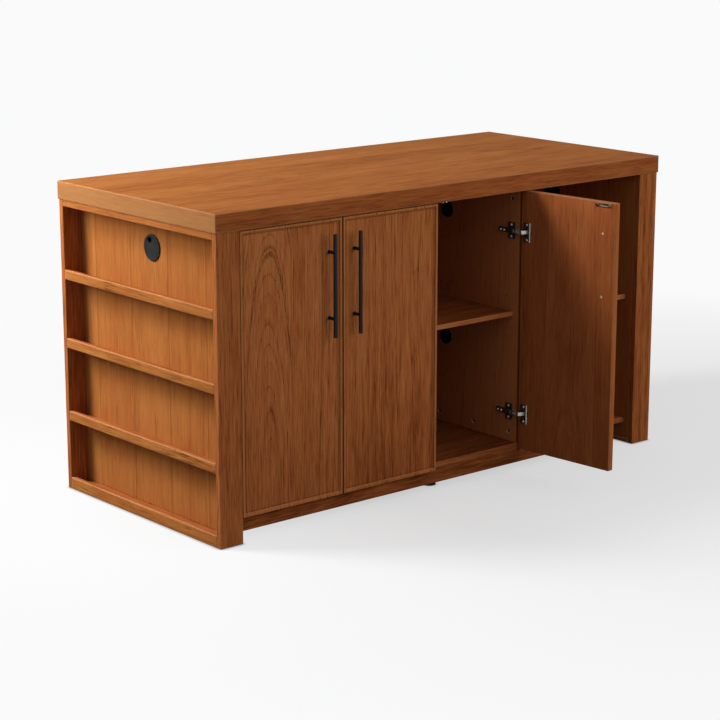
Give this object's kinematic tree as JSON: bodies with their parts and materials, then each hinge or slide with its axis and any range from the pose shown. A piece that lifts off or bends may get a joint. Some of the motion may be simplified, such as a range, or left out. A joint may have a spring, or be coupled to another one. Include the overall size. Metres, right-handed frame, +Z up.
{
  "type": "kitchen island",
  "caption": "Free-standing kitchen island with a thick worktop, hinged cabinet doors, an open shelf bay at the front and a shallow open bookcase in each end.",
  "frame": {"origin": "on the floor under the middle of the worktop, on the underside of the middle foot", "axes": "+X along the length to the right as seen from the doors, +Y to the back, +Z up"},
  "size_m": [1.702, 1.0884, 0.914],
  "materials": {
    "oak": "satin stained oak veneer",
    "black_metal": "satin black",
    "black_plastic": "matte black",
    "nickel": "nickel plated"
  },
  "bodies": {
    "carcass": {"worktop": "oak", "left_end_front_stile": "oak", "left_end_rear_stile": "oak", "left_end_top_board": "oak", "left_end_back_panel": "oak", "left_end_floor_ledge": "oak", "left_end_lower_ledge": "oak", "left_end_middle_ledge": "oak", "left_end_upper_ledge": "oak", "right_end_front_stile": "oak", "right_end_rear_stile": "oak", "right_end_top_board": "oak", "right_end_back_panel": "oak", "right_end_floor_ledge": "oak", "right_end_lower_ledge": "oak", "right_end_middle_ledge": "oak", "right_end_upper_ledge": "oak", "centre_divider": "oak", "right_divider": "oak", "cabinet_floor": "oak", "bay_floor": "oak", "double_cabinet_shelf": "oak", "single_cabinet_shelf": "oak", "bay_shelf": "oak", "double_cabinet_back": "oak", "single_cabinet_back": "oak", "bay_back": "oak", "front_plinth": "oak", "rear_plinth": "oak", "plinth_return": "oak", "front_foot": "black_plastic", "middle_foot": "black_plastic", "rear_foot": "black_plastic", "left_door_upper_hinge_arm": "nickel", "left_door_lower_hinge_arm": "nickel", "middle_door_upper_hinge_arm": "nickel", "middle_door_lower_hinge_arm": "nickel", "right_door_upper_hinge_arm": "nickel", "right_door_lower_hinge_arm": "nickel", "left_grommet_ring": "black_plastic", "right_grommet_ring": "black_plastic", "upper_divider_grommet": "black_plastic", "lower_divider_grommet": "black_plastic", "left_door_catch": "nickel", "middle_door_catch": "nickel", "right_door_catch": "nickel"},
    "left_door_leaf": {"left_door": "oak", "left_door_handle": "black_metal", "left_door_upper_hinge_cup": "nickel", "left_door_lower_hinge_cup": "nickel"},
    "middle_door_leaf": {"middle_door": "oak", "middle_door_handle": "black_metal", "middle_door_upper_hinge_cup": "nickel", "middle_door_lower_hinge_cup": "nickel"},
    "right_door_leaf": {"right_door": "oak", "right_door_handle": "black_metal", "right_door_upper_hinge_cup": "nickel", "right_door_lower_hinge_cup": "nickel"},
    "left_cable_cap": {"left_grommet_cap": "black_plastic"},
    "right_cable_cap": {"right_grommet_cap": "black_plastic"}
  },
  "joints": [
    {"name": "left_door_swing", "type": "hinge", "parent": "carcass", "child": "left_door_leaf", "pos_m": [-0.767, -0.375, 0.466], "axis": [0, 0, -1], "range_deg": [0, 94.5]},
    {"name": "middle_door_swing", "type": "hinge", "parent": "carcass", "child": "middle_door_leaf", "pos_m": [-0.071, -0.375, 0.466], "axis": [0, 0, 1], "range_deg": [0, 94.5]},
    {"name": "right_door_swing", "type": "hinge", "parent": "carcass", "child": "right_door_leaf", "pos_m": [0.2839, -0.3595, 0.466], "axis": [0, 0, 1], "range_deg": [-94.5, 0]},
    {"name": "left_cap_turn", "type": "hinge", "parent": "carcass", "child": "left_cable_cap", "pos_m": [-0.7883, 0, 0.766], "axis": [-1, 0, 0], "continuous": true},
    {"name": "right_cap_turn", "type": "hinge", "parent": "carcass", "child": "right_cable_cap", "pos_m": [0.7883, 0, 0.766], "axis": [1, 0, 0], "continuous": true}
  ]
}
